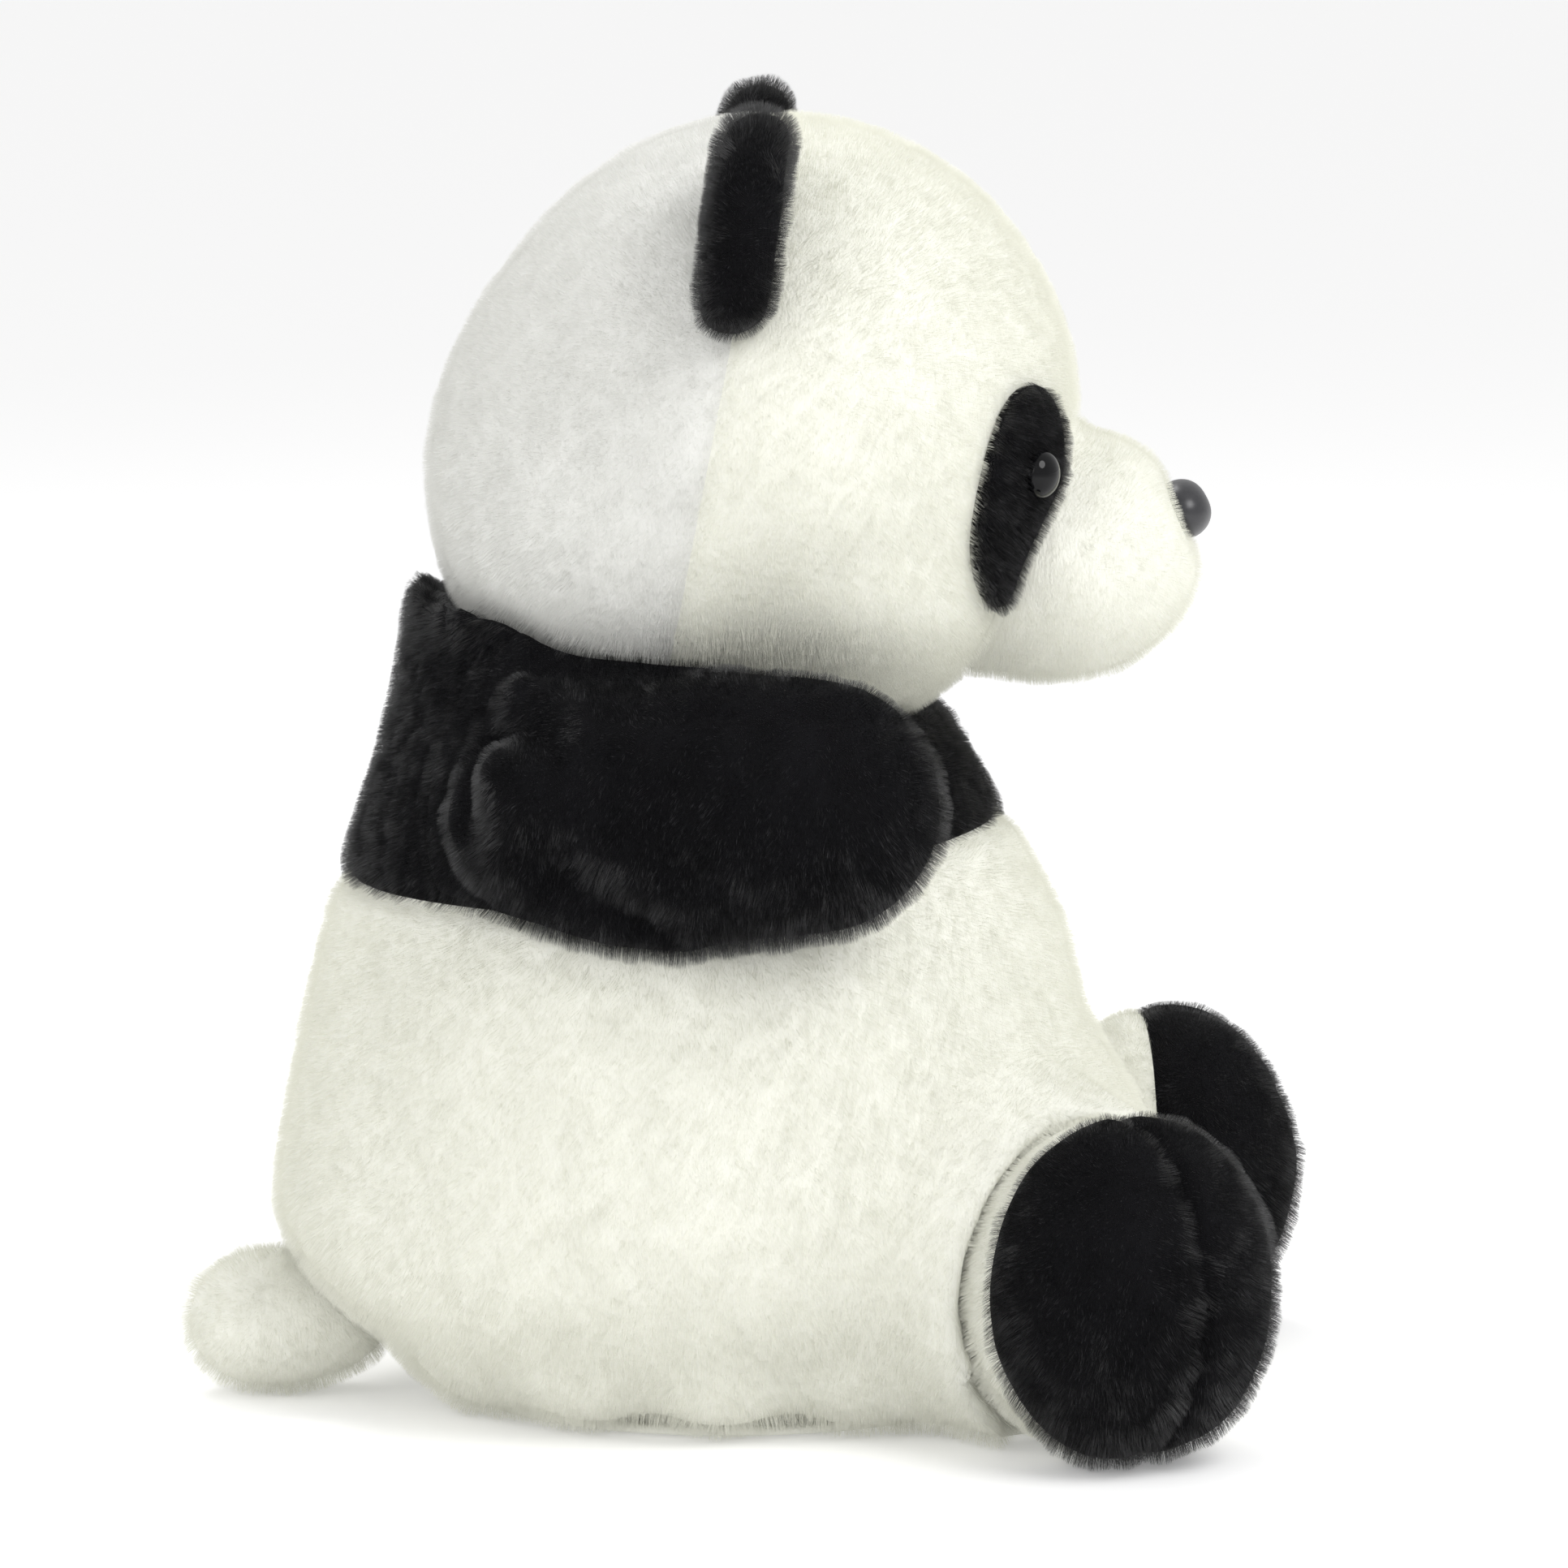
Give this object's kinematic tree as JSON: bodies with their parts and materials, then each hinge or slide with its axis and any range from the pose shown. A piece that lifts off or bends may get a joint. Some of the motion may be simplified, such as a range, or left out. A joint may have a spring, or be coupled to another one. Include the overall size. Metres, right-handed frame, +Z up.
{
  "type": "plush panda",
  "caption": "Seated plush panda with a white body, black band, limbs, ears and eye patches; head, ears, arms, legs and tail flex at their seams.",
  "frame": {"origin": "on the floor, below the middle of the whole panda", "axes": "+Z up, -Y the way the face looks, +X the panda's own left"},
  "size_m": [0.233, 0.2906, 0.3307],
  "materials": {
    "white_plush": "matte",
    "grey_white_plush": "matte",
    "black_plush": "matte",
    "eye_plastic": "gloss",
    "nose_plastic": "satin",
    "washer_plastic": "matte",
    "wadding": "matte",
    "bag_cloth": "matte"
  },
  "bodies": {
    "torso": {"shoulder_band_cover": "black_plush", "body_cover": "white_plush", "seat_panel": "white_plush", "body_stuffing": "wadding", "pellet_bag": "bag_cloth"},
    "neck": {"neck_stuffing": "wadding"},
    "head": {"head_face_cover": "white_plush", "head_back_cover": "grey_white_plush", "head_stuffing": "wadding", "muzzle_cover": "white_plush", "muzzle_stuffing": "wadding", "nose": "nose_plastic", "nose_washer": "washer_plastic", "eye_patch_left": "black_plush", "eye_patch_right": "black_plush", "eye_left": "eye_plastic", "eye_right": "eye_plastic", "eye_washer_left": "washer_plastic", "eye_washer_right": "washer_plastic"},
    "ear_left": {"ear_left": "black_plush"},
    "ear_right": {"ear_right": "black_plush"},
    "arm_left": {"arm_cover_left": "black_plush", "arm_stuffing_left": "wadding"},
    "arm_right": {"arm_cover_right": "black_plush", "arm_stuffing_right": "wadding"},
    "leg_left": {"foot_cover_left": "black_plush", "foot_stuffing_left": "wadding", "leg_cover_left": "white_plush"},
    "leg_right": {"foot_cover_right": "black_plush", "foot_stuffing_right": "wadding", "leg_cover_right": "white_plush"},
    "tail": {"tail_cover": "white_plush", "tail_stuffing": "wadding"}
  },
  "joints": [
    {"name": "head_turn", "type": "hinge", "parent": "torso", "child": "neck", "pos_m": [0, 0.006, 0.236], "axis": [0, 0, 1], "range_deg": [-25, 25], "stiffness_Nm_per_rad": 0.6},
    {"name": "head_nod", "type": "hinge", "parent": "neck", "child": "head", "pos_m": [0, 0.006, 0.236], "axis": [1, 0, 0], "range_deg": [-8, 8], "stiffness_Nm_per_rad": 1.5},
    {"name": "ear_left_fold", "type": "hinge", "parent": "head", "child": "ear_left", "pos_m": [0.0736, 0.002, 0.2992], "axis": [0.6921, 0, -0.7218], "range_deg": [-20, 20], "stiffness_Nm_per_rad": 0.02},
    {"name": "ear_right_fold", "type": "hinge", "parent": "head", "child": "ear_right", "pos_m": [-0.0736, 0.002, 0.2992], "axis": [0.6921, 0, 0.7218], "range_deg": [-20, 20], "stiffness_Nm_per_rad": 0.02},
    {"name": "arm_left_open", "type": "hinge", "parent": "torso", "child": "arm_left", "pos_m": [0.07, 0.04, 0.16], "axis": [-0.342, 0, 0.9397], "range_deg": [0, 60], "stiffness_Nm_per_rad": 0.1},
    {"name": "arm_right_open", "type": "hinge", "parent": "torso", "child": "arm_right", "pos_m": [-0.07, 0.04, 0.16], "axis": [-0.342, 0, -0.9397], "range_deg": [0, 60], "stiffness_Nm_per_rad": 0.1},
    {"name": "leg_left_lift", "type": "hinge", "parent": "torso", "child": "leg_left", "pos_m": [0.07573, -0.0846, 0.0395], "axis": [-0.9962, -0.0872, 0], "range_deg": [0, 24], "stiffness_Nm_per_rad": 0.2},
    {"name": "leg_right_lift", "type": "hinge", "parent": "torso", "child": "leg_right", "pos_m": [-0.05995, -0.07822, 0.0395], "axis": [-0.5299, 0.848, 0], "range_deg": [0, 24], "stiffness_Nm_per_rad": 0.2},
    {"name": "tail_wag", "type": "hinge", "parent": "torso", "child": "tail", "pos_m": [0, 0.106, 0.019], "axis": [0, 0, 1], "range_deg": [-20, 20], "stiffness_Nm_per_rad": 0.05}
  ]
}
